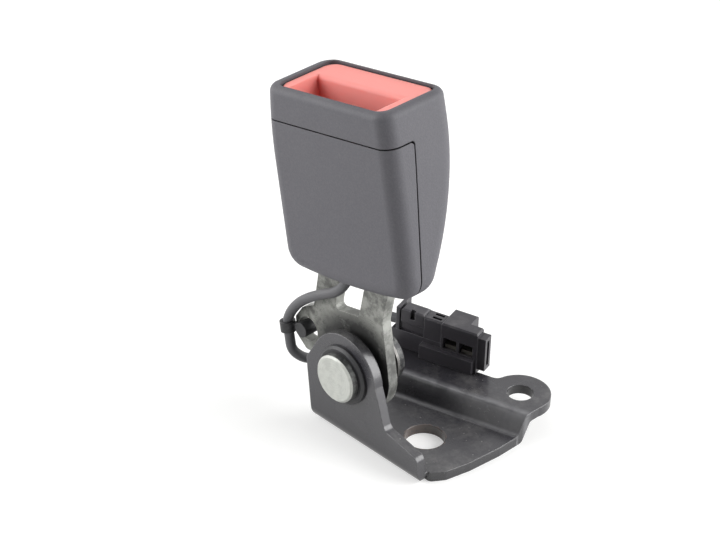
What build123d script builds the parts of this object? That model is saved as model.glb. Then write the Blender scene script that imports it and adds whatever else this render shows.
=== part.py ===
"""Seat belt buckle on a stamped anchor bracket, built as separate pieces.

World frame: origin at the anchor bolt hole on the bracket's underside, Z up,
X along the pivot ear, Y to the back along the pivot rivet. The buckle leans
about the rivet, so its pieces are drawn in the head frame (u, y, w), with u
across the head, y the world's Y and w up along the head from the rivet axis.
The connector is drawn in a frame (e, n, z) turned with the bracket's joggle.
"""

import os
from math import cos, radians, sin, sqrt, tan

from build123d import (
    Axis,
    Box,
    BuildLine,
    BuildPart,
    BuildSketch,
    Circle,
    Cylinder,
    FilletPolyline,
    Helix,
    Line,
    Locations,
    Mode,
    Plane,
    Polygon,
    Polyline,
    RectangleRounded,
    RegularPolygon,
    ThreePointArc,
    add,
    chamfer,
    export_step,
    extrude,
    fillet,
    make_face,
    revolve,
    sweep,
)

# Anchor bracket, stamped sheet.
SHEET = 3.2
BOLT_R = 6.2
FOLD_R = 1.2
RIVET_X = -19.5
RIVET_Z = 23.6
EAR_FRONT = -16.1
EAR_BACK = EAR_FRONT + SHEET
EAR_R = 13.4
EAR_BULGE = 16.5
EAR_BULGE_Z = 21.5
TOE_X = -32.8
RIGHT_X = RIVET_X + EAR_R
WALL_END_X = 13.2
WALL_TOP = 9.4
WALL_RISE = 3.0
CORNER_R = 2.2
STEP_YAW = 17.0
STEP_RISE = 6.3
STEP_RUN = 3.4
STEP_FOOT = 14.6
STEP_ANGLE = 61.6
CREASE_R = 1.6
UPPER_TOP = SHEET + STEP_RISE
FLAT_RIGHT = 19.0
LOBE_X = 9.2
LOBE_Y = 31.8
LOBE_R = 9.5
LOBE_HOLE_R = 4.1
LOBE_BLEND = 3.0
BACK_EDGE = 30.6
FORM = 70.0

# Pivot stack along Y.
LEAN = 12.4
RIVET_HEAD_R = 7.7
RIVET_EDGE = 0.6
RIVET_HEAD_T = 2.7
FLANGE_T = 1.5
BUSH_FLANGE_R = 9.6
HEAD_UNDER = EAR_FRONT - FLANGE_T
RIVET_FACE = HEAD_UNDER - RIVET_HEAD_T
SHANK_R = 5.0
BUSH_R = 6.4
RUN_FIT = 0.05
STRAP_T = 3.5
STRAP_FRONT = -10.6
STRAP_BACK = STRAP_FRONT + STRAP_T
EYE_R = 13.7
JOURNAL_R = 6.3
DISC_R = 8.3
DISC_T = 2.5
DISC_FRONT = -1.2
DISC_BACK = DISC_FRONT + DISC_T
TAIL_R = 6.6
TAIL_T = 1.4
TAIL_EDGE = 0.5
TAIL_BACK = DISC_BACK + TAIL_T
CONES = 4
CONE_T = 0.9
CONE_R = 9.0

# Heights up the head, all taken from the latch pin.
PIN_W = 58.0
EJECT_DROP = 0.5
EJECT_FOOT = PIN_W - EJECT_DROP
SEAT_DROP = 8.0
SPRING_SEAT = EJECT_FOOT - SEAT_DROP
RIVET_DROP = 5.0
FRAME_RIVET_W = SPRING_SEAT - RIVET_DROP
FOOT_DROP = 8.5
FRAME_FOOT = SPRING_SEAT - FOOT_DROP
FLOOR_DROP = 11.7
FLOOR_W = FRAME_FOOT - FLOOR_DROP
LATCH_RISE = 2.2
LATCH_LENGTH = 9.8
LATCH_FOOT = PIN_W + LATCH_RISE
LATCH_TOP = LATCH_FOOT + LATCH_LENGTH
FRAME_OVER = 2.0
FRAME_TOP = LATCH_TOP + FRAME_OVER
BUTTON_TRAVEL = 4.0
PRESS_PLAY = 0.5
BUTTON_FLOOR = FRAME_TOP + BUTTON_TRAVEL + PRESS_PLAY
BUTTON_BASE = 2.2
RECESS_FLOOR = BUTTON_FLOOR + BUTTON_BASE
BUTTON_H = 12.7
BUTTON_TOP = BUTTON_FLOOR + BUTTON_H
RIM_LIP = 0.8
RIM_W = BUTTON_TOP + RIM_LIP
BAND = 11.0
PART_W = RIM_W - BAND
BOW_DROP = 8.0
BOW_TOP = RIM_W - BOW_DROP
SHOULDER_DROP = 24.0
SHOULDER_W = RIM_W - SHOULDER_DROP
TAB_LIFT = 5.0
TAB_LOW = FRAME_FOOT + TAB_LIFT
TAB_SINK = 13.0
TAB_HIGH = PART_W - TAB_SINK
SWITCH_LIFT = 2.0
SWITCH_FOOT = FRAME_FOOT + SWITCH_LIFT

# Widths across the head, all taken from the room inside the housing.
INSIDE_HALF = 22.6
SIDE_LEFT = 5.4
HEAD_LEFT = INSIDE_HALF + SIDE_LEFT
SIDE_RIGHT = 3.4
HEAD_RIGHT = INSIDE_HALF + SIDE_RIGHT
RECESS_IN = 4.1
RECESS_HALF = INSIDE_HALF - RECESS_IN
SPRING_ROOM = 7.1
FRAME_HALF = INSIDE_HALF - SPRING_ROOM
LEG_PLAY = 0.2
LEG_OUT = FRAME_HALF - LEG_PLAY
LEG_IN = 5.3
FRAME_RIVET_Q = (LEG_IN + LEG_OUT) / 2

# Strap legs and side lug.
LEG_SINK = 1.6
LEG_BEND = FRAME_FOOT - LEG_SINK
LEG_LAP = 9.0
LEG_TOP = FRAME_FOOT + LEG_LAP
NECK_W = 18.0
LUG_OUT = 26.0
LUG_TOP = 16.7
LUG_FOOT = 0.2
LUG_HOLE_U = -20.4
LUG_HOLE_W = 7.6
LUG_HOLE_R = 4.0
STRAP_CORNER = 1.5
STRAP_PLAY = 0.7
STRAP_CUT = 11.0
STRAP_CUT_LEFT = 23.5
STRAP_CUT_RIGHT = 14.5

# Head housing.
MID_U = 7.0
RIM_IN_LEFT = 2.3
RIM_IN_RIGHT = 0.7
HEAD_FRONT = -16.2
HEAD_BACK = 11.0
FLOOR_RISE = 1.9
SOLE_CORNER = 7.0
WALL = 2.1
FLOOR_T = 2.6
FRONT_CORNER = 5.0
REAR_CORNER = 6.0
INNER_CORNER = 3.4
RIM_ROUND = 2.4
BOW_R = 95.0
PART_Y_TOP = -6.2
PART_Y_FLOOR = -10.6
PART_GAP = 0.45
PART_CORNER = 1.2

# Buckle frame and mechanism.
FRAME_T = 2.0
CHANNEL = 4.3
FIT = 0.4
BASE_BACK = STRAP_BACK + FRAME_T
CHANNEL_BACK = BASE_BACK + CHANNEL
CHEEK_IN = FRAME_HALF - FRAME_T
FRAME_RIVET_R = 2.2
FRAME_RIVET_HEAD = 3.6
FRAME_RIVET_T = 1.4
BUTTON_WALL = 1.8
BUTTON_GAP = 0.3
PAD_CORNER = 4.2
SKIRT_IN = 1.4
SKIRT_H = 6.0
BUTTON_ROUND = 0.6
LIP_ROUND = 1.4
RECESS_BACK = -1.2
SLOT_HALF = CHEEK_IN - 0.3
PIN_Y = 1.6
PIN_R = 1.2
RING_T = 0.7
RING_R = PIN_R + RING_T
CHEEK_BACK = PIN_Y + RING_R - 0.1
CHEEK_FOOT = PIN_W - RING_R - 0.6
LATCH_T = 1.4
LATCH_FRONT = CHANNEL_BACK + 0.3
LATCH_BACK = LATCH_FRONT + LATCH_T
WING_T = 2.6
WING_OUT = CHEEK_IN - 1.2
WING_IN = WING_OUT - WING_T
LATCH_HALF = WING_IN - 1.2
TOOTH_HALF = 4.0
TOOTH_H = 4.8
TOOTH_FOOT = LATCH_TOP - TOOTH_H
TOOTH_TIP = BASE_BACK - 0.8
EJECT_FRONT = BASE_BACK + 0.2
EJECT_BACK = CHANNEL_BACK - FIT
EJECT_LENGTH = 11.0
EJECT_TOP = EJECT_FOOT + EJECT_LENGTH
EJECT_BAR = 3.4
EJECT_IN = TOOTH_HALF + 1.8
EJECT_OUT = CHEEK_IN - 0.9
SEAT_HALF = 6.0
SEAT_T = 1.5
SPRING_LENGTH = 12.5
LEDGE_W = BUTTON_FLOOR - SPRING_LENGTH
LEDGE_T = 2.0
SPRING_Q = (FRAME_HALF + INSIDE_HALF) / 2
SPRING_Y = 1.9
SPRING_R = 1.5
WIRE_R = 0.35
PUSH_END = PIN_W + RING_R + BUTTON_TRAVEL + 0.2
PUSH_FRONT = PIN_Y + 1.3
PUSH_T = 1.2
RIB_FRONT = CHANNEL_BACK - 2.8
RIB_T = 2.0
TAB_T = 2.2
TAB_H = 4.5
TAB_REACH = 4.5

# Switch, lead and connector.
SWITCH_HALF = LEG_IN - 0.7
SWITCH_H = 12.0
SWITCH_PROUD = 2.2
FEELER_W = SWITCH_FOOT + 10.4
FEELER_R = 1.0
LEAD_R = 1.6
LEAD_Y = STRAP_FRONT - LEAD_R - 0.2
LEAD_U = MID_U - 1.0
CLIP_OUT = 34.8
CLIP_U = MID_U - CLIP_OUT
CLIP_W = LUG_HOLE_W
CLIP_H = 3.4
CLIP_T = 0.9
NECK_T = 1.6
LEAD_SWING = 10.0
LEAD_CREST = (FLOOR_W - CLIP_W) * 4 / 7
LEAD_TAIL = 12.0
PLUG_R = 2.4
CONN_FRONT = 29.3
CONN_BACK = 38.9
CONN_TOP = 24.0
CONN_LEFT = -27.0
CONN_SPLIT = -10.9
CONN_RIGHT = 1.8
RAIL_TOP = 15.8
RAIL_FRONT = CONN_FRONT + 0.8
RAIL_BACK = CONN_BACK - 2.0
SILL_OUT = 1.4
SILL_TOP = 14.2
SILL_LEFT = -17.5
BLOCK_EDGE = 0.5
WINDOW_FOOT = 14.9
WINDOW_H = 4.0
WINDOW_DEEP = 4.0
WINDOW_W = 4.8
WINDOW_RIB = 0.8
NOTCH_LEFT = CONN_RIGHT - 4.5
NOTCH_FRONT = CONN_FRONT + 4.3
NOTCH_FLOOR = CONN_TOP - 5.5
PLUG_LEFT = -17.2
PLUG_FRONT = CONN_FRONT + 0.8
PLUG_DEEP = 6.0
PLUG_BACK = CONN_FRONT + PLUG_DEEP
SLOT_W = 1.0
SLOT_L = 3.2
FLANGE_W = 1.2
END_OUT = 2.6
END_T = 1.2
TRAY_TOP = 19.0
HOOK_GAP = 1.0
HOOK_T = 1.6
HOOK_REACH = 4.4
HOOK_W = 5.9

HEAD_X = (cos(radians(LEAN)), 0, sin(radians(LEAN)))
HEAD_Z = (-sin(radians(LEAN)), 0, cos(radians(LEAN)))
YAW_X = (cos(radians(STEP_YAW)), sin(radians(STEP_YAW)), 0)
YAW_Y = (-sin(radians(STEP_YAW)), cos(radians(STEP_YAW)), 0)
HEAD = Plane(origin=(RIVET_X, 0, RIVET_Z), x_dir=HEAD_X, z_dir=HEAD_Z)
YAWED = Plane(origin=(0, 0, 0), x_dir=YAW_X, z_dir=(0, 0, 1))
FRONT = Plane(origin=(0, 0, 0), x_dir=(1, 0, 0), z_dir=(0, -1, 0))
TURNED = Plane(origin=(RIVET_X, 0, RIVET_Z), x_dir=(1, 0, 0), z_dir=(0, 0, 1))
PIVOT = Axis((RIVET_X, 0, RIVET_Z), (0, 1, 0))
TOP_AXIS = Axis(HEAD.origin, HEAD_Z)
ACROSS = Axis(HEAD.origin, HEAD_X)


def facing(y):
    """Head plane seen from the front: sketch x is u, sketch y is w."""
    start = HEAD.from_local_coords((0, y, 0))
    return Plane(origin=start, x_dir=HEAD_X, z_dir=(0, -1, 0))


def sideways(u):
    """Head plane seen from its side: sketch x is y, sketch y is w."""
    start = HEAD.from_local_coords((u, 0, 0))
    return Plane(origin=start, x_dir=(0, 1, 0), z_dir=HEAD_X)


def block(x, y, z, mode=Mode.ADD):
    """Box between three pairs of limits in the builder's own plane."""
    with Locations(((x[0] + x[1]) / 2, (y[0] + y[1]) / 2, (z[0] + z[1]) / 2)):
        Box(x[1] - x[0], y[1] - y[0], z[1] - z[0], mode=mode)


def pair(q, y, w, mode=Mode.ADD):
    """The same box on both sides of the head's middle."""
    block((MID_U + q[0], MID_U + q[1]), y, w, mode)
    block((MID_U - q[1], MID_U - q[0]), y, w, mode)


def turned(*profile):
    """Body of revolution about the pivot from (radius, y) points."""
    with BuildSketch(TURNED) as half:
        Polygon(*profile, align=None)
    revolve(half.sketch, axis=PIVOT)


def pin_across(u0, u1, y, w, radius, mode=Mode.ADD):
    """Round bar across the head from u0 to u1."""
    with BuildSketch(sideways(u0)) as end:
        with Locations((y, w)):
            Circle(radius)
    extrude(end.sketch, amount=u1 - u0, mode=mode)


def pin_back(u, w, y0, y1, radius, mode=Mode.ADD):
    """Round bar along Y from y0 back to y1."""
    with BuildSketch(facing(y0)) as end:
        with Locations((u, w)):
            Circle(radius)
    extrude(end.sketch, amount=y0 - y1, mode=mode)


def coil(foot, along, height, turns, radius, wire):
    """Spring of faceted wire standing on foot."""
    with BuildLine() as path:
        Helix(pitch=height / turns, height=height, radius=radius, center=foot, direction=along)
    with BuildSketch(Plane(origin=path.line @ 0, z_dir=path.line % 0)) as end:
        RegularPolygon(wire, 6)
    sweep(end.sketch, path=path.line, is_frenet=True)


def keep(builder, name):
    """Name the piece and write it."""
    builder.part.label = name
    export_step(builder.part, "parts/" + name + ".step")


os.makedirs("parts", exist_ok=True)

# The bracket: a joggled floor cut to its plan, with the ear folded up in front.
bend_shift = SHEET * tan(radians(STEP_ANGLE / 2))
ear_top = RIVET_Z + EAR_R
with BuildPart() as ear_form:
    with BuildSketch(Plane.YZ) as fold:
        Polygon(
            (EAR_FRONT, 0),
            (EAR_BACK + SHEET, 0),
            (EAR_BACK + SHEET, SHEET),
            (EAR_BACK, SHEET),
            (EAR_BACK, ear_top + SHEET),
            (EAR_FRONT, ear_top + SHEET),
            align=None,
        )
        low = fold.vertices().filter_by(lambda v: v.Y < SHEET + 0.1)
        fillet([v for v in low if v.X < EAR_FRONT + 0.1], radius=FOLD_R + SHEET)
        fillet([v for v in low if abs(v.X - EAR_BACK) < 0.1 and v.Y > SHEET / 2], radius=FOLD_R)
    extrude(amount=FORM, both=True)
    with BuildSketch(FRONT.offset(-EAR_FRONT + 1)):
        with BuildLine():
            FilletPolyline(
                (TOE_X, 0),
                (WALL_END_X, 0),
                (WALL_END_X - 0.8, WALL_TOP),
                (RIGHT_X + EAR_R / 3, WALL_TOP + WALL_RISE),
                (RIGHT_X - 0.6, RIVET_Z + 3),
                (RIVET_X, RIVET_Z + 3),
                (RIVET_X - EAR_R * cos(radians(30)), RIVET_Z + EAR_R * sin(radians(30))),
                (RIVET_X - EAR_BULGE, EAR_BULGE_Z),
                radius=CORNER_R,
                close=True,
            )
        make_face()
        with Locations((RIVET_X, RIVET_Z)):
            Circle(EAR_R)
    extrude(amount=-FORM, mode=Mode.INTERSECT)

with BuildPart() as anchor_bracket:
    with BuildSketch(Plane(origin=(0, 0, 0), x_dir=YAW_Y, z_dir=YAW_X)):
        Polygon(
            (-FORM, 0),
            (STEP_FOOT + bend_shift, 0),
            (STEP_FOOT + STEP_RUN + bend_shift, STEP_RISE),
            (FORM, STEP_RISE),
            (FORM, UPPER_TOP),
            (STEP_FOOT + STEP_RUN, UPPER_TOP),
            (STEP_FOOT, SHEET),
            (-FORM, SHEET),
            align=None,
        )
    extrude(amount=FORM, both=True)
    long_edges = anchor_bracket.edges().filter_by(lambda e: e.length > 1.9 * FORM)
    creases = [e for e in long_edges if 0 < YAWED.to_local_coords(e.center()).Y < FORM / 2]
    fillet(creases, radius=CREASE_R)
    with BuildSketch(Plane.XY.offset(-1)) as plan:
        with BuildLine():
            FilletPolyline(
                (TOE_X, EAR_BACK + FOLD_R),
                (WALL_END_X + 0.7, EAR_BACK + FOLD_R),
                (FLAT_RIGHT - 2.4, EAR_BACK + 5.4),
                (FLAT_RIGHT - 0.8, 1.0),
                (FLAT_RIGHT, STEP_FOOT - 1.6),
                (LOBE_X + LOBE_R - 0.2, LOBE_Y),
                (LOBE_X, LOBE_Y),
                (LOBE_X - LOBE_R + 0.7, BACK_EDGE + 1.4),
                (TOE_X - 3.0, BACK_EDGE - 9.4),
                (TOE_X, 8.0),
                radius=STRAP_CORNER,
                close=True,
            )
        make_face()
        with Locations((LOBE_X, LOBE_Y)):
            Circle(LOBE_R)
        necks = [v for v in plan.vertices() if v.X < LOBE_X and abs(v.Y - LOBE_Y) < LOBE_R / 2]
        necks = [v for v in necks if abs((v.X - LOBE_X) ** 2 + (v.Y - LOBE_Y) ** 2 - LOBE_R**2) < 0.1]
        fillet(necks, radius=LOBE_BLEND)
    extrude(amount=FORM, mode=Mode.INTERSECT)
    add(ear_form.part)
    Cylinder(BOLT_R, FORM, mode=Mode.SUBTRACT)
    with Locations((LOBE_X, LOBE_Y, UPPER_TOP)):
        Cylinder(LOBE_HOLE_R, 4 * SHEET, mode=Mode.SUBTRACT)
    with BuildSketch(FRONT.offset(-EAR_FRONT)):
        with Locations((RIVET_X, RIVET_Z)):
            Circle(BUSH_R)
    extrude(amount=-SHEET, mode=Mode.SUBTRACT)
keep(anchor_bracket, "anchor_bracket")

# Pivot stack.
with BuildPart() as pivot_rivet:
    turned(
        (0, RIVET_FACE),
        (RIVET_HEAD_R - RIVET_EDGE, RIVET_FACE),
        (RIVET_HEAD_R, RIVET_FACE + RIVET_EDGE),
        (RIVET_HEAD_R, HEAD_UNDER),
        (SHANK_R, HEAD_UNDER),
        (SHANK_R, STRAP_FRONT),
        (JOURNAL_R, STRAP_FRONT),
        (JOURNAL_R, DISC_FRONT),
        (SHANK_R, DISC_FRONT),
        (SHANK_R, DISC_BACK),
        (TAIL_R, DISC_BACK),
        (TAIL_R, TAIL_BACK - TAIL_EDGE),
        (TAIL_R - TAIL_EDGE, TAIL_BACK),
        (0, TAIL_BACK),
    )
keep(pivot_rivet, "pivot_rivet")

with BuildPart() as pivot_bush:
    turned(
        (SHANK_R, HEAD_UNDER),
        (BUSH_FLANGE_R - FLANGE_T / 2, HEAD_UNDER),
        (BUSH_FLANGE_R, HEAD_UNDER + FLANGE_T / 2),
        (BUSH_FLANGE_R, EAR_FRONT),
        (BUSH_R, EAR_FRONT),
        (BUSH_R, EAR_BACK),
        (SHANK_R, EAR_BACK),
    )
keep(pivot_bush, "pivot_bush")

with BuildPart() as spacer_bush:
    turned(
        (SHANK_R, EAR_BACK),
        (BUSH_FLANGE_R, EAR_BACK),
        (BUSH_FLANGE_R, STRAP_FRONT - RUN_FIT),
        (SHANK_R, STRAP_FRONT - RUN_FIT),
    )
keep(spacer_bush, "spacer_bush")

# Coned washers, back to back, hold the strap against the spacer.
cone_pitch = (DISC_FRONT - STRAP_BACK - RUN_FIT) / CONES
cone_bore = JOURNAL_R + 2 * RUN_FIT
with BuildPart() as friction_springs:
    for number in range(CONES):
        near = STRAP_BACK + RUN_FIT + cone_pitch * number
        far = near + cone_pitch - CONE_T
        inner = near if number % 2 else far
        outer = far if number % 2 else near
        turned(
            (cone_bore, inner),
            (CONE_R, outer),
            (CONE_R, outer + CONE_T),
            (cone_bore, inner + CONE_T),
        )
keep(friction_springs, "friction_springs")

with BuildPart() as tail_washer:
    turned(
        (SHANK_R, DISC_FRONT),
        (DISC_R, DISC_FRONT),
        (DISC_R, DISC_BACK),
        (SHANK_R, DISC_BACK),
    )
keep(tail_washer, "tail_washer")

# The strap: eye, side lug and two dog-legged legs.
with BuildPart() as strap:
    with BuildSketch(facing(STRAP_FRONT)):
        Circle(EYE_R)
        with BuildLine():
            FilletPolyline(
                (EYE_R, 0),
                (EYE_R + 0.4, NECK_W + 0.5),
                (MID_U + LEG_OUT, LEG_BEND),
                (MID_U + LEG_OUT, LEG_TOP),
                (MID_U + LEG_IN, LEG_TOP),
                (MID_U + LEG_IN, LEG_BEND),
                (MID_U - 3.1, NECK_W),
                (-MID_U + 0.2, NECK_W),
                (MID_U - LEG_IN, LEG_BEND),
                (MID_U - LEG_IN, LEG_TOP),
                (MID_U - LEG_OUT, LEG_TOP),
                (MID_U - LEG_OUT, LEG_BEND),
                (-EYE_R - 2.6, NECK_W - 1.4),
                (-EYE_R - 1.3, NECK_W - 7.0),
                (-EYE_R, 0),
                radius=STRAP_CORNER,
                close=True,
            )
        make_face()
        with BuildLine():
            FilletPolyline(
                (-EYE_R + 2.7, LUG_TOP),
                (-EYE_R - 2.4, LUG_TOP),
                (-LUG_OUT + 4.2, LUG_TOP - 2.1),
                (-LUG_OUT + 0.3, LUG_TOP - 6.1),
                (-LUG_OUT, LUG_FOOT + 4.0),
                (-LUG_OUT + 3.4, LUG_FOOT),
                (-EYE_R + 2.7, LUG_FOOT - 1.2),
                radius=STRAP_CORNER,
                close=True,
            )
        make_face()
        with Locations((LUG_HOLE_U, LUG_HOLE_W)):
            Circle(LUG_HOLE_R, mode=Mode.SUBTRACT)
        Circle(JOURNAL_R + RUN_FIT, mode=Mode.SUBTRACT)
        with Locations((MID_U - FRAME_RIVET_Q, FRAME_RIVET_W), (MID_U + FRAME_RIVET_Q, FRAME_RIVET_W)):
            Circle(FRAME_RIVET_R, mode=Mode.SUBTRACT)
    extrude(amount=-STRAP_T)
keep(strap, "strap")

# Steel frame: base plate, two cheeks and a lanced tab for the ejector spring.
with BuildPart(HEAD) as buckle_frame:
    block((MID_U - FRAME_HALF, MID_U + FRAME_HALF), (STRAP_BACK, BASE_BACK), (FRAME_FOOT, FRAME_TOP))
    pair((CHEEK_IN, FRAME_HALF), (BASE_BACK, CHEEK_BACK), (CHEEK_FOOT, FRAME_TOP))
    block(
        (MID_U - SEAT_HALF, MID_U + SEAT_HALF),
        (BASE_BACK, CHANNEL_BACK),
        (SPRING_SEAT - SEAT_T, SPRING_SEAT),
    )
    tooth_window = TOOTH_HALF + 0.6
    block(
        (MID_U - tooth_window, MID_U + tooth_window),
        (STRAP_BACK, BASE_BACK),
        (TOOTH_FOOT - 0.8, FRAME_TOP - 1.0),
        Mode.SUBTRACT,
    )
    for side in (-1, 1):
        u = MID_U + side * FRAME_RIVET_Q
        pin_back(u, FRAME_RIVET_W, STRAP_BACK, BASE_BACK, FRAME_RIVET_R, Mode.SUBTRACT)
    pin_back(MID_U, FEELER_W, STRAP_BACK, BASE_BACK, FEELER_R + 0.1, Mode.SUBTRACT)
    pin_across(MID_U - FRAME_HALF, MID_U + FRAME_HALF, PIN_Y, PIN_W, PIN_R, Mode.SUBTRACT)
    shoulders = buckle_frame.edges().filter_by(ACROSS)
    shoulders = [e for e in shoulders if abs(e.length - FRAME_T) < 0.01 and e.center().Y > PIN_Y]
    fillet(shoulders, radius=RING_R / 2)
keep(buckle_frame, "buckle_frame")

with BuildPart() as frame_rivets:
    for side in (-1, 1):
        u = MID_U + side * FRAME_RIVET_Q
        pin_back(u, FRAME_RIVET_W, STRAP_FRONT - FRAME_RIVET_T, STRAP_FRONT, FRAME_RIVET_HEAD)
        pin_back(u, FRAME_RIVET_W, STRAP_FRONT, BASE_BACK, FRAME_RIVET_R)
keep(frame_rivets, "frame_rivets")


# Housing forms: the outside, the inside, and the region of the front cover.
def back_at(w, wall):
    """How far back the bowed rear face stands at height w, inset by wall."""
    radius = BOW_R - wall
    return HEAD_BACK - wall - radius + sqrt(radius**2 - (BOW_TOP - w) ** 2)


def side_outline(wall, floor, top):
    """Side view of the housing, inset by wall, with its bowed rear face."""
    back = HEAD_BACK - wall
    half_way = (BOW_TOP + floor) / 2
    with BuildSketch(sideways(MID_U)) as outline:
        with BuildLine():
            Polyline(
                (back_at(floor, wall), floor),
                (HEAD_FRONT + wall, floor),
                (HEAD_FRONT + wall, top),
                (back, top),
                (back, BOW_TOP),
            )
            ThreePointArc(
                (back, BOW_TOP),
                (back_at(half_way, wall), half_way),
                (back_at(floor, wall), floor),
            )
        make_face()
    return outline.sketch


left_u = MID_U - HEAD_LEFT
right_u = MID_U + HEAD_RIGHT
with BuildPart() as outer_form:
    extrude(side_outline(0.0, FLOOR_W - FLOOR_RISE, RIM_W), amount=FORM, both=True)
    with BuildSketch(facing(HEAD_FRONT)) as front_outline:
        with BuildLine():
            Line((left_u, FLOOR_W + FLOOR_RISE), (left_u, SHOULDER_W))
            ThreePointArc(
                (left_u, SHOULDER_W),
                (left_u + RIM_IN_LEFT / 4, (SHOULDER_W + RIM_W) / 2),
                (left_u + RIM_IN_LEFT, RIM_W),
            )
            Line((left_u + RIM_IN_LEFT, RIM_W), (right_u - RIM_IN_RIGHT, RIM_W))
            ThreePointArc(
                (right_u - RIM_IN_RIGHT, RIM_W),
                (right_u - RIM_IN_RIGHT / 4, (SHOULDER_W + RIM_W) / 2),
                (right_u, SHOULDER_W),
            )
            Line((right_u, SHOULDER_W), (right_u, FLOOR_W + FLOOR_RISE))
            ThreePointArc(
                (right_u, FLOOR_W + FLOOR_RISE),
                ((left_u + right_u) / 2, FLOOR_W),
                (left_u, FLOOR_W + FLOOR_RISE),
            )
        make_face()
        low = front_outline.vertices().filter_by(lambda v: v.Y < FLOOR_W + FLOOR_RISE + 0.1)
        fillet(low, radius=SOLE_CORNER)
    extrude(front_outline.sketch, amount=-FORM, both=True, mode=Mode.INTERSECT)
    rear = [e for e in outer_form.edges() if e.center().Y > HEAD_FRONT + 0.1 and abs((e % 0.5).Y) < 0.95]
    rear = [e for e in rear if HEAD.to_local_coords(e.center()).Z < RIM_W - 1]
    fillet([e for e in rear if abs(HEAD.to_local_coords(e.center()).Z - BOW_TOP) > 0.1], radius=REAR_CORNER)
    faced = [e for e in outer_form.edges() if abs(e.center().Y - HEAD_FRONT) < 0.1]
    fillet([e for e in faced if HEAD.to_local_coords(e.center()).Z < RIM_W - 1], radius=FRONT_CORNER)
    fillet(outer_form.faces().sort_by(TOP_AXIS)[-1].edges(), radius=RIM_ROUND)

inside_depth = 2 * (HEAD_BACK - HEAD_FRONT)
with BuildPart() as inner_form:
    extrude(side_outline(WALL, FLOOR_W + FLOOR_T, RIM_W + 1), amount=INSIDE_HALF, both=True)
    upright = [e for e in inner_form.edges() if abs((e % 0.5).dot(TOP_AXIS.direction)) > 0.8]
    fillet([e for e in upright if e.center().Y > HEAD_FRONT + WALL + 0.1], radius=INNER_CORNER)
    with BuildSketch(HEAD.offset(FLOOR_W)) as inside_plan:
        with Locations((MID_U, HEAD_FRONT + WALL + inside_depth / 2)):
            RectangleRounded(2 * INSIDE_HALF, inside_depth, INNER_CORNER)
    extrude(inside_plan.sketch, amount=RIM_W - FLOOR_W + 1, mode=Mode.INTERSECT)


def cover_region(grow):
    """Everything that belongs to the front cover, widened by grow at the parting line."""
    with BuildSketch(sideways(MID_U)) as side:
        with BuildLine():
            FilletPolyline(
                (HEAD_FRONT - WALL, PART_W + grow),
                (PART_Y_TOP + grow, PART_W + grow),
                (PART_Y_FLOOR + grow, FLOOR_W + FLOOR_T),
                (PART_Y_FLOOR + grow, FLOOR_W - 2 * FLOOR_T),
                (HEAD_FRONT - WALL, FLOOR_W - 2 * FLOOR_T),
                radius=PART_CORNER,
                close=True,
            )
        make_face()
    extrude(side.sketch, amount=FORM, both=True)


with BuildPart() as cover_form:
    cover_region(0.0)
with BuildPart() as cover_cut:
    cover_region(PART_GAP)

tab_y = (HEAD_FRONT + WALL, PART_Y_TOP + TAB_REACH - 2.5)
with BuildPart(HEAD) as tab_blocks:
    pair((INSIDE_HALF - TAB_T, INSIDE_HALF + WALL), tab_y, (TAB_LOW, TAB_LOW + TAB_H))
    pair((INSIDE_HALF - TAB_T, INSIDE_HALF + WALL), tab_y, (TAB_HIGH, TAB_HIGH + TAB_H))
ledge_y = (SPRING_Y - SPRING_R - 0.9, SPRING_Y + SPRING_R + 0.9)
with BuildPart(HEAD) as rib_blocks:
    rib_y = (RIB_FRONT, RIB_FRONT + RIB_T)
    pair((FRAME_HALF, INSIDE_HALF + WALL), rib_y, (CHEEK_FOOT + 1, LEDGE_W - LEDGE_T))
    pair((FRAME_HALF + FIT, INSIDE_HALF + WALL), ledge_y, (LEDGE_W - LEDGE_T, LEDGE_W))
cut_foot = FLOOR_W - 2 * FLOOR_T
with BuildPart(HEAD) as floor_cuts:
    block(
        (MID_U - STRAP_CUT_LEFT, MID_U + STRAP_CUT_RIGHT),
        (STRAP_FRONT - STRAP_PLAY, STRAP_BACK + STRAP_PLAY),
        (cut_foot, FLOOR_W + STRAP_CUT),
    )
    block(
        (LEAD_U - 3 * LEAD_R, LEAD_U + LEAD_R + FIT),
        (LEAD_Y - LEAD_R - 0.1, STRAP_FRONT),
        (cut_foot, SWITCH_FOOT + FIT),
    )
with BuildPart() as tab_form:
    add(tab_blocks.part)
    add(inner_form.part, mode=Mode.INTERSECT)
with BuildPart() as rib_form:
    add(rib_blocks.part)
    add(inner_form.part, mode=Mode.INTERSECT)

with BuildPart() as rear_shell:
    add(outer_form.part)
    add(inner_form.part, mode=Mode.SUBTRACT)
    add(cover_cut.part, mode=Mode.SUBTRACT)
    add(rib_form.part)
    add(floor_cuts.part, mode=Mode.SUBTRACT)
keep(rear_shell, "rear_shell")

with BuildPart() as front_cover:
    add(outer_form.part)
    add(inner_form.part, mode=Mode.SUBTRACT)
    add(cover_form.part, mode=Mode.INTERSECT)
    add(tab_form.part)
    add(floor_cuts.part, mode=Mode.SUBTRACT)
keep(front_cover, "front_cover")

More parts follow.
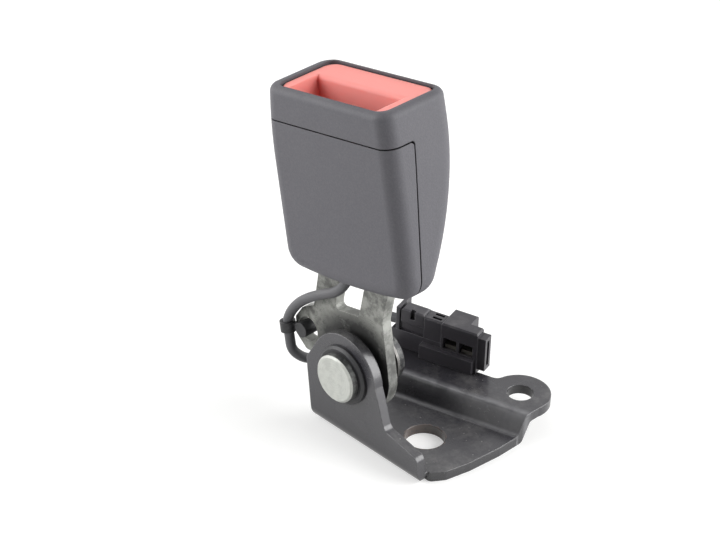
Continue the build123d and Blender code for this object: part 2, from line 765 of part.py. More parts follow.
# Press button: pad behind, tongue recess in front, two push legs to the latch.
button_front = HEAD_FRONT + WALL + BUTTON_GAP
button_back = HEAD_BACK - WALL - BUTTON_GAP
with BuildPart(HEAD) as press_button:
    with BuildSketch(HEAD.offset(BUTTON_FLOOR)):
        with Locations((MID_U, (button_front + button_back) / 2)):
            RectangleRounded(2 * (INSIDE_HALF - BUTTON_GAP), button_back - button_front, PAD_CORNER)
    extrude(amount=BUTTON_TOP - BUTTON_FLOOR)
    fillet(press_button.faces().sort_by(TOP_AXIS)[-1].edges(), radius=BUTTON_ROUND)
    block(
        (MID_U - RECESS_HALF, MID_U + RECESS_HALF),
        (button_front - 1, RECESS_BACK),
        (RECESS_FLOOR, BUTTON_TOP + 1),
        Mode.SUBTRACT,
    )
    lips = press_button.edges().filter_by(ACROSS)
    lips = [e for e in lips if abs(e.center().Y - RECESS_BACK) < 0.01]
    fillet([e for e in lips if HEAD.to_local_coords(e.center()).Z > BUTTON_TOP - 0.1], radius=LIP_ROUND)
    block(
        (MID_U - SLOT_HALF, MID_U + SLOT_HALF),
        (BASE_BACK - 0.3, RECESS_BACK),
        (BUTTON_FLOOR - 1, RECESS_FLOOR + 1),
        Mode.SUBTRACT,
    )
    block(
        (MID_U - RECESS_HALF - 1.5, MID_U + RECESS_HALF + 1.5),
        (RECESS_BACK + BUTTON_WALL, button_back - SKIRT_IN - BUTTON_WALL / 2),
        (BUTTON_FLOOR - 1, BUTTON_TOP - BUTTON_WALL - FIT),
        Mode.SUBTRACT,
    )
    block(
        (MID_U - INSIDE_HALF, MID_U + INSIDE_HALF),
        (button_back - SKIRT_IN, button_back + 1),
        (BUTTON_FLOOR - 1, BUTTON_FLOOR + SKIRT_H),
        Mode.SUBTRACT,
    )
    push_y = (PUSH_FRONT, PUSH_FRONT + PUSH_T)
    pair((WING_IN - 0.1, WING_OUT + 0.1), push_y, (PUSH_END, BUTTON_TOP - BUTTON_WALL))
    foot_w = (BUTTON_FLOOR, BUTTON_FLOOR + BUTTON_WALL)
    pair((SPRING_Q - SPRING_R - 1.1, SPRING_Q + SPRING_R), ledge_y, foot_w)
keep(press_button, "press_button")

# Ejector slide, open in the middle where the latch tooth comes through.
with BuildPart(HEAD) as ejector:
    pair((EJECT_IN, EJECT_OUT), (EJECT_FRONT, EJECT_BACK), (EJECT_FOOT, EJECT_TOP))
    block(
        (MID_U - EJECT_OUT, MID_U + EJECT_OUT),
        (EJECT_FRONT, EJECT_BACK),
        (EJECT_FOOT, EJECT_FOOT + EJECT_BAR),
    )
keep(ejector, "ejector")

# Latch plate with its tooth, two wings on the pin and two press arms.
with BuildPart(HEAD) as latch_plate:
    plate_y = (LATCH_FRONT, LATCH_BACK)
    block((MID_U - LATCH_HALF, MID_U + LATCH_HALF), plate_y, (LATCH_FOOT, LATCH_TOP))
    block((MID_U - WING_OUT, MID_U + WING_OUT), plate_y, (LATCH_FOOT, LATCH_FOOT + WING_T))
    with BuildSketch(sideways(MID_U)):
        Polygon(
            (LATCH_FRONT + 0.2, TOOTH_FOOT),
            (TOOTH_TIP, TOOTH_FOOT + TOOTH_H / 2),
            (TOOTH_TIP, TOOTH_FOOT + 0.6 * TOOTH_H),
            (LATCH_FRONT + 0.2, LATCH_TOP - 0.2),
            align=None,
        )
    extrude(amount=TOOTH_HALF, both=True)
    pair((WING_IN, WING_OUT), (LATCH_FRONT, PIN_Y), (PIN_W, LATCH_FOOT + 0.2))
    for low in (MID_U - WING_OUT, MID_U + WING_IN):
        pin_across(low, low + WING_T, PIN_Y, PIN_W, RING_R)
    pair((WING_IN, WING_OUT), (PIN_Y, PIN_Y + RING_R - 0.1), (PIN_W + FIT, PIN_W + FIT + 1))
    pin_across(MID_U - FRAME_HALF, MID_U + FRAME_HALF, PIN_Y, PIN_W, PIN_R + RUN_FIT, Mode.SUBTRACT)
keep(latch_plate, "latch_plate")

with BuildPart() as latch_pin:
    pin_across(MID_U - FRAME_HALF - 0.6, MID_U + FRAME_HALF + 0.6, PIN_Y, PIN_W, PIN_R)
keep(latch_pin, "latch_pin")

# Springs: torsion spring on the latch pin, then the three compression springs.
with BuildPart() as latch_spring:
    start = HEAD.from_local_coords((MID_U - LATCH_HALF / 3, PIN_Y, PIN_W))
    coil(start, HEAD_X, 2 * LATCH_HALF / 3, 3, PIN_R + WIRE_R, WIRE_R)
keep(latch_spring, "latch_spring")

mid_channel = (BASE_BACK + CHANNEL_BACK) / 2
with BuildPart() as ejector_spring:
    start = HEAD.from_local_coords((MID_U, mid_channel, SPRING_SEAT + WIRE_R))
    coil(start, HEAD_Z, EJECT_FOOT - SPRING_SEAT - 2 * WIRE_R, 4, SPRING_R, WIRE_R)
keep(ejector_spring, "ejector_spring")

with BuildPart() as button_springs:
    for side in (-1, 1):
        start = HEAD.from_local_coords((MID_U + side * SPRING_Q, SPRING_Y, LEDGE_W + WIRE_R))
        coil(start, HEAD_Z, SPRING_LENGTH - 2 * WIRE_R, 3, SPRING_R, WIRE_R)
keep(button_springs, "button_springs")

# Switch in front of the base plate, with its feeler through the plate.
with BuildPart(HEAD) as switch_housing:
    block(
        (MID_U - SWITCH_HALF, MID_U + SWITCH_HALF),
        (STRAP_FRONT - SWITCH_PROUD + 0.2, STRAP_BACK),
        (SWITCH_FOOT, SWITCH_FOOT + SWITCH_H),
    )
    chamfer(switch_housing.edges().filter_by(TOP_AXIS), 0.6)
keep(switch_housing, "switch_housing")

with BuildPart() as switch_feeler:
    pin_back(MID_U, FEELER_W, STRAP_BACK, BASE_BACK + 0.1, FEELER_R)
keep(switch_feeler, "switch_feeler")

# Lead: the run fixed to the buckle, then the free run to the connector.
clip_end = HEAD.from_local_coords((CLIP_U, LEAD_Y, CLIP_W - CLIP_H))
with BuildPart() as lead_upper:
    with BuildLine() as upper_path:
        FilletPolyline(
            HEAD.from_local_coords((LEAD_U, LEAD_Y, SWITCH_FOOT)),
            HEAD.from_local_coords((LEAD_U, LEAD_Y, FLOOR_W - LEAD_R + 0.4)),
            HEAD.from_local_coords((CLIP_U + LEAD_SWING, LEAD_Y, CLIP_W + LEAD_CREST)),
            HEAD.from_local_coords((CLIP_U, LEAD_Y, CLIP_W + CLIP_H)),
            clip_end,
            radius=2.5 * LEAD_R,
        )
    with BuildSketch(Plane(origin=upper_path.line @ 0, z_dir=upper_path.line % 0)):
        Circle(LEAD_R)
    sweep(path=upper_path.line)
keep(lead_upper, "lead_upper")

lead_n = (CONN_FRONT + CONN_BACK) / 2 - 1
lead_z = RAIL_TOP + LEAD_R + 0.1
with BuildPart() as lead_lower:
    with BuildLine() as lower_path:
        FilletPolyline(
            clip_end,
            HEAD.from_local_coords((CLIP_U, LEAD_Y, -1.5)),
            HEAD.from_local_coords((CLIP_U + 3.5, STRAP_BACK - 1, -5.5)),
            HEAD.from_local_coords((CLIP_U + 4.0, 3.0, -6.0)),
            YAWED.from_local_coords((CONN_LEFT - LEAD_TAIL, lead_n, lead_z)),
            YAWED.from_local_coords((CONN_LEFT, lead_n, lead_z)),
            radius=2.0 * LEAD_R,
        )
    with BuildSketch(Plane(origin=lower_path.line @ 0, z_dir=lower_path.line % 0)):
        Circle(LEAD_R)
    sweep(path=lower_path.line)
keep(lead_lower, "lead_lower")

# Clip: a collar round the lead, with a neck to a plug in the lug's hole.
with BuildPart(HEAD) as lead_clip:
    with BuildSketch(HEAD.offset(CLIP_W - CLIP_H / 2)):
        with Locations((CLIP_U, LEAD_Y)):
            Circle(LEAD_R + CLIP_T)
    extrude(amount=CLIP_H)
    neck_w = (CLIP_W - CLIP_H / 3, CLIP_W + CLIP_H / 3)
    block((CLIP_U, LUG_HOLE_U - 1.2), (STRAP_FRONT - NECK_T, STRAP_FRONT), neck_w)
    pin_back(LUG_HOLE_U - 1.2, CLIP_W, STRAP_FRONT - SWITCH_PROUD, STRAP_BACK + CLIP_T, PLUG_R)
    with BuildSketch(HEAD.offset(CLIP_W - CLIP_H)):
        with Locations((CLIP_U, LEAD_Y)):
            Circle(LEAD_R)
    extrude(amount=2 * CLIP_H, mode=Mode.SUBTRACT)
keep(lead_clip, "lead_clip")

# Connector on the rear edge of the bracket's upper flat.
window_left = CONN_SPLIT + WINDOW_RIB
windows = [window_left, window_left + WINDOW_W + WINDOW_RIB]
with BuildPart(YAWED) as connector_housing:
    block((CONN_SPLIT, CONN_RIGHT), (CONN_FRONT, CONN_BACK), (UPPER_TOP, CONN_TOP))
    chamfer(connector_housing.faces().sort_by(Axis.Z)[-1].edges(), BLOCK_EDGE)
    block((CONN_LEFT - 1.4, CONN_SPLIT), (RAIL_FRONT, RAIL_BACK), (UPPER_TOP, RAIL_TOP))
    block((SILL_LEFT, CONN_RIGHT - 1), (CONN_FRONT - SILL_OUT, RAIL_FRONT), (UPPER_TOP, SILL_TOP))
    block(
        (NOTCH_LEFT, CONN_RIGHT + 1),
        (NOTCH_FRONT, CONN_BACK + 1),
        (NOTCH_FLOOR, CONN_TOP + 1),
        Mode.SUBTRACT,
    )
    frame_n = (CONN_FRONT + BLOCK_EDGE, NOTCH_FRONT)
    frame_z = (UPPER_TOP + 1.6, CONN_TOP - 1.4)
    block((CONN_RIGHT, CONN_RIGHT + END_OUT), frame_n, frame_z)
    block(
        (CONN_RIGHT - 1, CONN_RIGHT + END_OUT + 1),
        (frame_n[0] + END_T, frame_n[1] - END_T),
        (frame_z[0] + END_T, frame_z[1] - END_T),
        Mode.SUBTRACT,
    )
    for left in windows:
        block(
            (left, left + WINDOW_W),
            (CONN_FRONT - 1, CONN_FRONT + WINDOW_DEEP),
            (WINDOW_FOOT, WINDOW_FOOT + WINDOW_H),
            Mode.SUBTRACT,
        )
keep(connector_housing, "connector_housing")

with BuildPart(YAWED) as connector_terminals:
    for left in windows:
        block(
            (left + FIT, left + WINDOW_W - FIT),
            (CONN_FRONT + 1.2, CONN_FRONT + WINDOW_DEEP),
            (WINDOW_FOOT, WINDOW_FOOT + 1.2),
        )
keep(connector_terminals, "connector_terminals")

plug_mid = (PLUG_FRONT + PLUG_BACK) / 2
with BuildPart(YAWED) as connector_plug:
    block((PLUG_LEFT, CONN_SPLIT), (PLUG_FRONT, PLUG_BACK), (RAIL_TOP, CONN_TOP - 0.6))
    chamfer(connector_plug.faces().sort_by(Axis.Z)[-1].edges().filter_by(Axis((0, 0, 0), YAW_X)), BLOCK_EDGE)
    for across in (-1, 1):
        slot_n = plug_mid + across * SLOT_W
        block(
            (CONN_SPLIT - 1 - SLOT_L, CONN_SPLIT - 1),
            (slot_n - SLOT_W / 2, slot_n + SLOT_W / 2),
            (CONN_TOP - SLOT_L, CONN_TOP),
            Mode.SUBTRACT,
        )
    block((CONN_LEFT, CONN_LEFT + FLANGE_W), (PLUG_FRONT, RAIL_BACK + 1), (RAIL_TOP, CONN_TOP))
    block((CONN_LEFT, PLUG_LEFT), (PLUG_FRONT + 0.8, PLUG_BACK - 0.6), (RAIL_TOP, TRAY_TOP))
keep(connector_plug, "connector_plug")

with BuildPart(YAWED) as connector_lock:
    lock_e = (CONN_LEFT + FLANGE_W + FIT, PLUG_LEFT - FIT / 2)
    block(lock_e, (PLUG_FRONT + 0.2, PLUG_BACK - 0.2), (TRAY_TOP, CONN_TOP - 0.2))
    chamfer(connector_lock.faces().sort_by(Axis.Z)[-1].edges(), BLOCK_EDGE)
    thumb = (lock_e[0] + lock_e[1]) / 2
    block(
        (thumb - 0.8, thumb + 0.8),
        (PLUG_FRONT, PLUG_FRONT + 1.4),
        (CONN_TOP - SLOT_L, CONN_TOP),
        Mode.SUBTRACT,
    )
keep(connector_lock, "connector_lock")

clip_e = (SILL_LEFT - 1.5, CONN_SPLIT + HOOK_W)
hook_n = (BACK_EDGE + HOOK_GAP, BACK_EDGE + HOOK_GAP + HOOK_T)
with BuildPart(YAWED) as connector_clip:
    block(clip_e, (BACK_EDGE - HOOK_REACH, hook_n[1]), (STEP_RISE - HOOK_T, STEP_RISE))
    block(clip_e, hook_n, (STEP_RISE, UPPER_TOP))
keep(connector_clip, "connector_clip")
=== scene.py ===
"""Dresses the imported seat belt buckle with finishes, its lead, and a studio stage.

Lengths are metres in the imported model's own frame: the origin is the anchor
bolt hole, Z is up and Y runs to the back along the pivot rivet.
"""

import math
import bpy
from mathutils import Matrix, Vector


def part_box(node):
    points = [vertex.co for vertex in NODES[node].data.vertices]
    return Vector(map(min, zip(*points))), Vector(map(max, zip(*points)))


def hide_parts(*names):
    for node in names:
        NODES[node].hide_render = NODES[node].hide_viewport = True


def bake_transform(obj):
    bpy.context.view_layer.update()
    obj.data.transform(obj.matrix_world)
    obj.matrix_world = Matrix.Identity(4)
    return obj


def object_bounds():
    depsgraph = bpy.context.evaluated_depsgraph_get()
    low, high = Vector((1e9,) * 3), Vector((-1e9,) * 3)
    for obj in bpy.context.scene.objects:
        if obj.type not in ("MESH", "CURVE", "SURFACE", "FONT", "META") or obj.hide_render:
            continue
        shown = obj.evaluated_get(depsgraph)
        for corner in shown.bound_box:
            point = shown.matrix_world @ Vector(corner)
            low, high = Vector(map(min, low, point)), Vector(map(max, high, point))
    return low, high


bl_info = {
    "name": "Seat Belt Buckle Finish",
    "version": (1, 0, 0),
    "blender": (4, 5, 0),
    "location": "View3D > Sidebar > Buckle",
    "description": "Finishes, lead and studio stage for a buckle on its anchor bracket",
    "category": "Object",
}

import bpy
from bpy.props import FloatProperty, FloatVectorProperty, PointerProperty
from mathutils import Matrix, Vector

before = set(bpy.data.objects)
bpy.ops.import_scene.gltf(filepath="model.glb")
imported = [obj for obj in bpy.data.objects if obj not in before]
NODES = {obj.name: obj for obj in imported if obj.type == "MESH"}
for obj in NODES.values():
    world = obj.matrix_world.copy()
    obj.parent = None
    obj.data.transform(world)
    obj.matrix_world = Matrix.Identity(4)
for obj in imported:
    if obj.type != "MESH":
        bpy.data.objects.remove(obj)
CAD_LOW, CAD_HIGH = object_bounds()
RIVET_LOW, RIVET_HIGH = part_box("pivot_rivet")
RIVET_AXIS = (RIVET_LOW + RIVET_HIGH) / 2
MM = 0.001
LEAN = math.radians(12.4)
PIVOT = Vector((-19.5 * MM, 0.0, 23.6 * MM))
STEP_YAW = math.radians(17.0)
BOLT_BORE = 6.2 * MM
# Turned rings on the rivet's end, in radians a metre.
RING_PITCH = 7500.0
# Painted highlights along the bends of the bracket's step: how far back from the bolt hole, width of the
# highlight, its strength.
UPPER_BEND_HIGHLIGHT = (18.6 * MM, 2.6 * MM, 0.55)
LOWER_BEND_HIGHLIGHT = (14.6 * MM, 0.7 * MM, 0.5)
# Heights up the head at which a spring stands and ends.
EJECTOR_COIL = (49.5 * MM, 57.5 * MM)
BUTTON_COIL = (64 * MM, 76.5 * MM)
# The lead's switch and clip on the head, and its way into the connector.
LEAD_PLANE = -12.4 * MM
SWITCH_ACROSS = 6 * MM
CLIP_ACROSS = -27.8 * MM
PLUG_BACK = 33.1 * MM
PLUG_UP = 17.5 * MM
# The stage: lamps' places and sides, the dim part of the surround and its soft edge, the floor.
LARGE_LAMP = (0.74, 0.6, 0.46)
LARGE_SIDE = 1.1
SMALL_LAMP = (-0.66, -0.62, 0.32)
SMALL_SIDE = 0.9
DIM_SIDE = (0.64, -0.64, 0.42)
DIM_START = 0.1
DIM_END = 0.9
FLOOR_REACH = 6.0
FLOOR_DROP = 0.02 * MM
FLOOR_GLOW = 0.45
SENSOR_WIDTH = 36.0


def on_head(across, up, back=0.0):
    """A point of the leaning head, from the rivet's axis across, up and back."""
    side = across * math.cos(LEAN) - up * math.sin(LEAN)
    height = across * math.sin(LEAN) + up * math.cos(LEAN)
    return PIVOT + Vector((side, back, height))


def srgb(red, green, blue):
    """Scene-linear colour of an 8-bit display colour."""
    channels = []
    for value in (red, green, blue):
        share = value / 255
        channels.append(share / 12.92 if share <= 0.04045 else ((share + 0.055) / 1.055) ** 2.4)
    return tuple(channels)


def colour_property(name, description, default):
    """A colour that the user can change in the panel."""
    return FloatVectorProperty(
        name=name, description=description, default=default, size=3, min=0.0, max=1.0, subtype="COLOR"
    )


class BuckleColours(bpy.types.PropertyGroup):
    """Colours of the buckle's finishes, and of the painted shade and highlights laid over them."""

    shell: colour_property("Shell", "Grained plastic of the housing", srgb(90, 89, 94))
    shell_rubbed: colour_property("Rubbed shell", "Housing where it is handled", srgb(122, 122, 127))
    button: colour_property("Button", "Salmon red of the press button", srgb(255, 156, 149))
    button_pale: colour_property("Faded button", "Button where it has bleached", srgb(255, 176, 168))
    strap: colour_property("Strap", "Dull zinc on the strap and frame", srgb(146, 147, 142))
    strap_stain: colour_property("Strap stain", "Dark passivate marks on the strap", srgb(66, 66, 64))
    # Also painted light on the strap's cut edges.
    strap_bare_and_highlight: colour_property("Bare strap", "Bright metal where the strap rubs", srgb(190, 191, 186))
    zinc: colour_property("Zinc", "Bright plate on the rivets", srgb(196, 198, 192))
    zinc_dull: colour_property("Dull zinc", "Spots in the bright plate", srgb(158, 160, 156))
    coat: colour_property("Coat", "Satin black coat of the bracket", srgb(52, 51, 56))
    # Also the painted highlights along the bracket's bends.
    coat_scuff_and_highlight: colour_property("Scuffed coat", "Grey scuffs in the coat", srgb(142, 142, 145))
    rust: colour_property("Rust", "Brown edge in the bolt hole", srgb(116, 94, 82))
    # Also the painted shade on the sides of the rivets, pin and washer.
    nylon_and_rivet_shade: colour_property("Nylon", "Bushes, clip and slide", srgb(36, 36, 38))
    connector: colour_property("Connector", "Smooth plastic of the connector", srgb(56, 54, 59))
    connector_edge: colour_property("Connector edge", "Worn edges of the connector", srgb(146, 145, 150))
    sheath: colour_property("Sheath", "Outer sheath of the lead", srgb(84, 84, 87))
    spring: colour_property("Spring", "Oiled spring steel", srgb(120, 118, 116))
    tin: colour_property("Tin", "Tinned terminals", srgb(136, 133, 126))
    # Painted shade: a near-black laid in seams, corners and hollows where shade falls, and near the pivot
    # on the strap.
    painted_shade: colour_property("Painted shade", "Dark grime in seams and corners", srgb(22, 21, 22))
    dust: colour_property("Dust", "Pale dust on flat faces", srgb(178, 176, 172))
    floor: colour_property("Floor", "Pale studio floor", (0.66, 0.66, 0.65))


class BuckleSizes(bpy.types.PropertyGroup):
    """Sizes of the surface detail and the lead."""

    grain: FloatProperty(
        name="Grain", description="Width of one pit in the moulded grain", default=0.4 * MM, unit="LENGTH"
    )
    edge: FloatProperty(
        name="Edge", description="Width of the softened edges", default=0.45 * MM, unit="LENGTH"
    )
    lead_radius: FloatProperty(
        name="Lead radius", description="Half the sheath's thickness", default=1.6 * MM, unit="LENGTH"
    )
    rust_reach: FloatProperty(
        name="Rust reach",
        description="How far rust spreads from the bolt hole",
        default=0.5 * MM,
        unit="LENGTH",
    )


class BuckleStage(bpy.types.PropertyGroup):
    """Camera and light of the studio stage."""

    azimuth: FloatProperty(
        name="Azimuth",
        description="Camera's turn about Z",
        default=math.radians(44.991),
        subtype="ANGLE",
    )
    elevation: FloatProperty(
        name="Elevation",
        description="Camera's height angle",
        default=math.radians(33.328),
        subtype="ANGLE",
    )
    roll: FloatProperty(
        name="Roll",
        description="Camera's tilt about its own axis",
        default=math.radians(2.074),
        subtype="ANGLE",
    )
    place: FloatVectorProperty(
        name="Place",
        description="Where the camera stands",
        default=(0.49230, -0.52286, 0.53490),
        size=3,
        subtype="TRANSLATION",
    )
    lens: FloatProperty(name="Lens", description="Focal length", default=147.0, unit="CAMERA")
    surround: FloatProperty(
        name="Surround", description="Strength of the even light all round", default=0.68, min=0.0
    )
    gap: FloatProperty(
        name="Gap", description="Strength of the dim gap between the two soft boxes", default=0.0, min=0.0
    )
    key: FloatProperty(
        name="Key", description="Power of the large lamp", default=17.5, min=0.0, unit="POWER"
    )
    fill: FloatProperty(
        name="Fill", description="Power of the small lamp", default=10.5, min=0.0, unit="POWER"
    )


def colours():
    """The colour settings of this scene."""
    return bpy.context.scene.buckle_colours


def sizes():
    """The size settings of this scene."""
    return bpy.context.scene.buckle_sizes


def opaque(colour):
    """A colour with full alpha, as sockets hold it."""
    return (colour[0], colour[1], colour[2], 1.0)


def node(tree, kind, values=None, **settings):
    """Add a node; values are constants or sockets to link, by input name or index."""
    made = tree.nodes.new(kind)
    for name, value in settings.items():
        setattr(made, name, value)
    for name, value in (values or {}).items():
        if isinstance(value, bpy.types.NodeSocket):
            tree.links.new(value, made.inputs[name])
        else:
            made.inputs[name].default_value = value
    return made


def arithmetic(tree, operation, first, second):
    """Result of a Math node on two values or sockets."""
    return node(tree, "ShaderNodeMath", {0: first, 1: second}, operation=operation).outputs[0]


def ranged(tree, value, low, high, to_low=0.0, to_high=1.0):
    """A value carried smoothly from one range to another."""
    made = node(
        tree,
        "ShaderNodeMapRange",
        {"Value": value, "From Min": low, "From Max": high, "To Min": to_low, "To Max": to_high},
        interpolation_type="SMOOTHSTEP",
    )
    return made.outputs["Result"]


def mixed(tree, mask, under, over):
    """One colour laid over another through a mask."""
    made = node(tree, "ShaderNodeMix", {0: mask, 6: under, 7: over}, data_type="RGBA")
    return made.outputs[2]


def place_of(tree):
    """A point's place on its own piece, in metres."""
    return node(tree, "ShaderNodeTexCoord").outputs["Object"]


def noise(tree, vector, scale, detail=2.0, roughness=0.5):
    """Factor of a noise texture."""
    made = node(
        tree,
        "ShaderNodeTexNoise",
        {"Vector": vector, "Scale": scale, "Detail": detail, "Roughness": roughness},
    )
    return made.outputs[0]


def new_group(name, inputs, outputs):
    """An empty node group with named value sockets, and its two end nodes."""
    tree = bpy.data.node_groups.new(name, "ShaderNodeTree")
    for label, default in inputs.items():
        socket = tree.interface.new_socket(label, in_out="INPUT", socket_type="NodeSocketFloat")
        socket.default_value = default
    for label, kind in outputs.items():
        tree.interface.new_socket(label, in_out="OUTPUT", socket_type=kind)
    entry = tree.nodes.new("NodeGroupInput")
    leave = tree.nodes.new("NodeGroupOutput")
    return tree, entry.outputs, leave.inputs


def grain_group():
    """Spark-eroded mould grain: a height for bump and a tone for colour."""
    tree, entry, leave = new_group(
        "Moulded grain",
        {"Size": 0.5 * MM},
        {"Height": "NodeSocketFloat", "Tone": "NodeSocketFloat"},
    )
    where = place_of(tree)
    scale = arithmetic(tree, "DIVIDE", 1.0, entry["Size"])
    pits = node(tree, "ShaderNodeTexVoronoi", {"Vector": where, "Scale": scale}, feature="SMOOTH_F1")
    broad = noise(tree, where, arithmetic(tree, "MULTIPLY", scale, 0.45), 3.0)
    tree.links.new(arithmetic(tree, "ADD", pits.outputs["Distance"], broad), leave["Height"])
    tree.links.new(noise(tree, where, arithmetic(tree, "MULTIPLY", scale, 0.8), 4.0, 0.7), leave["Tone"])
    return tree


def scuff_group():
    """Rubbed patches crossed by fine scratches."""
    tree, entry, leave = new_group(
        "Scuffs", {"Size": 12 * MM, "Amount": 0.3}, {"Mask": "NodeSocketFloat"}
    )
    where = place_of(tree)
    scale = arithmetic(tree, "DIVIDE", 1.0, entry["Size"])
    cover = noise(tree, where, scale, 6.0, 0.6)
    limit = ranged(tree, entry["Amount"], 0.0, 1.0, 0.78, 0.38)
    patch = arithmetic(tree, "GREATER_THAN", cover, limit)
    soft = node(
        tree,
        "ShaderNodeMapRange",
        {"Value": cover, "From Min": limit, "From Max": arithmetic(tree, "ADD", limit, 0.14)},
    )
    drawn = node(
        tree,
        "ShaderNodeMapping",
        {"Vector": where, "Rotation": (0.4, 0.7, 0.5), "Scale": (1.0, 14.0, 14.0)},
    )
    lines = noise(tree, drawn.outputs[0], arithmetic(tree, "MULTIPLY", scale, 4.0), 3.0)
    scratch = ranged(tree, lines, 0.5, 0.68)
    depth = ranged(tree, scratch, 0.0, 1.0, 0.35, 1.0)
    shaded = arithmetic(tree, "MULTIPLY", soft.outputs["Result"], depth)
    tree.links.new(arithmetic(tree, "MULTIPLY", patch, shaded), leave["Mask"])
    return tree


def dust_group():
    """Specks and a faint film that lie on faces turned upward."""
    tree, entry, leave = new_group("Dust", {"Size": 2 * MM, "Amount": 0.3}, {"Mask": "NodeSocketFloat"})
    where = place_of(tree)
    scale = arithmetic(tree, "DIVIDE", 1.0, entry["Size"])
    specks = node(tree, "ShaderNodeTexVoronoi", {"Vector": where, "Scale": scale})
    spot = ranged(tree, specks.outputs["Distance"], 0.16, 0.05)
    chance = node(tree, "ShaderNodeSeparateColor", {0: specks.outputs["Color"]}).outputs[0]
    chosen = arithmetic(tree, "LESS_THAN", chance, entry["Amount"])
    clouds = noise(tree, where, arithmetic(tree, "MULTIPLY", scale, 0.12), 8.0, 0.7)
    film = ranged(tree, clouds, 0.45, 0.8, 0.0, 0.5)
    facing = node(tree, "ShaderNodeNewGeometry").outputs["Normal"]
    upward = node(tree, "ShaderNodeSeparateXYZ", {0: facing}).outputs[2]
    lies = ranged(tree, upward, 0.2, 0.9, 0.12, 1.0)
    both = arithmetic(tree, "ADD", arithmetic(tree, "MULTIPLY", spot, chosen), film)
    tree.links.new(arithmetic(tree, "MULTIPLY", both, lies), leave["Mask"])
    return tree


def edge_group():
    """Softened edges: a rounded normal and a mask for wear along them."""
    tree, entry, leave = new_group(
        "Edge wear",
        {"Radius": 0.4 * MM, "Breakup": 3 * MM},
        {"Mask": "NodeSocketFloat", "Normal": "NodeSocketVector"},
    )
    rounded = node(tree, "ShaderNodeBevel", {"Radius": entry["Radius"]}, samples=6).outputs[0]
    flat = node(tree, "ShaderNodeNewGeometry").outputs["Normal"]
    lined = node(tree, "ShaderNodeVectorMath", {0: rounded, 1: flat}, operation="DOT_PRODUCT")
    sharp = ranged(tree, lined.outputs["Value"], 0.99, 0.82)
    scale = arithmetic(tree, "DIVIDE", 1.0, entry["Breakup"])
    broken = ranged(tree, noise(tree, place_of(tree), scale, 5.0, 0.65), 0.38, 0.62)
    tree.links.new(arithmetic(tree, "MULTIPLY", sharp, broken), leave["Mask"])
    tree.links.new(rounded, leave["Normal"])
    return tree


def painted_shade_group():
    """Painted shade: a mask that darkens seams and inside corners wherever ambient occlusion finds them
    shaded.
    """
    tree, entry, leave = new_group("Painted shade", {"Reach": 1 * MM, "Limit": 0.62}, {"Mask": "NodeSocketFloat"})
    open_sky = node(tree, "ShaderNodeAmbientOcclusion", {"Distance": entry["Reach"]}, samples=6)
    tree.links.new(ranged(tree, open_sky.outputs["AO"], entry["Limit"], 0.25), leave["Mask"])
    return tree


EFFECTS = {
    "grain": grain_group,
    "scuffs": scuff_group,
    "dust": dust_group,
    "edge": edge_group,
    "painted_shade": painted_shade_group,
}


def effect(tree, name, **values):
    """Outputs of a shared effect, placed in a material with its own values."""
    made = tree.nodes.new("ShaderNodeGroup")
    made.node_tree = bpy.data.node_groups[bpy.context.scene["buckle_" + name]]
    for label, value in values.items():
        made.inputs[label].default_value = value
    return made.outputs


class Finish:
    """One material: a Principled shader whose colour is laid up in coats."""

    def __init__(self, name, base, roughness, metallic=0.0):
        self.material = bpy.data.materials.new(name)
        self.material.use_nodes = True
        self.tree = self.material.node_tree
        self.shader = self.tree.nodes["Principled BSDF"]
        self.shader.inputs["Metallic"].default_value = metallic
        self.colour = opaque(base)
        self.roughness = roughness
        self.shader.inputs["Roughness"].default_value = roughness

    def lay(self, mask, colour):
        """Lay a colour over what is there."""
        self.colour = mixed(self.tree, mask, self.colour, opaque(colour))

    def polish(self, mask, low, high):
        """Vary the roughness from low to high with a mask."""
        self.roughness = ranged(self.tree, mask, 0.0, 1.0, low, high)

    def relief(self, height, depth, strength=1.0, normal=None):
        """Bump from a height, over a rounded normal."""
        values = {"Height": height, "Distance": depth, "Strength": strength}
        if normal is not None:
            values["Normal"] = normal
        bump = node(self.tree, "ShaderNodeBump", values)
        self.tree.links.new(bump.outputs[0], self.shader.inputs["Normal"])

    def done(self):
        """Join the laid colour and roughness to the shader."""
        if isinstance(self.colour, bpy.types.NodeSocket):
            self.tree.links.new(self.colour, self.shader.inputs["Base Color"])
        else:
            self.shader.inputs["Base Color"].default_value = self.colour
        if isinstance(self.roughness, bpy.types.NodeSocket):
            self.tree.links.new(self.roughness, self.shader.inputs["Roughness"])
        return self.material


def part_of(finish, mask, share):
    """A share of a mask."""
    return arithmetic(finish.tree, "MULTIPLY", mask, share)


def coat_nodes(material, *names):
    """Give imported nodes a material."""
    for name in names:
        mesh = NODES[name].data
        mesh.materials.clear()
        mesh.materials.append(material)


def distance_from_line(finish, point, flatten):
    """Distance of a surface point from a line through point; flatten zeroes the line's own axis."""
    tree = finish.tree
    place = place_of(tree)
    away = node(tree, "ShaderNodeVectorMath", {0: place, 1: tuple(point)}, operation="SUBTRACT")
    across = node(tree, "ShaderNodeVectorMath", {0: away.outputs[0], 1: flatten}, operation="MULTIPLY")
    length = node(tree, "ShaderNodeVectorMath", {0: across.outputs[0]}, operation="LENGTH")
    return length.outputs["Value"]


def endwise(finish):
    """How squarely a face looks along Y, the rivet's own axis, either way."""
    facing = node(finish.tree, "ShaderNodeNewGeometry").outputs["Normal"]
    along = node(finish.tree, "ShaderNodeSeparateXYZ", {0: facing}).outputs[1]
    return arithmetic(finish.tree, "ABSOLUTE", along, 0.0)


class BUCKLE_OT_effects(bpy.types.Operator):
    """Build the effects that several finishes share"""

    bl_idname = "buckle.effects"
    bl_label = "Shared Effects"

    def execute(self, context):
        for name, build in EFFECTS.items():
            context.scene["buckle_" + name] = build().name
        return {"FINISHED"}


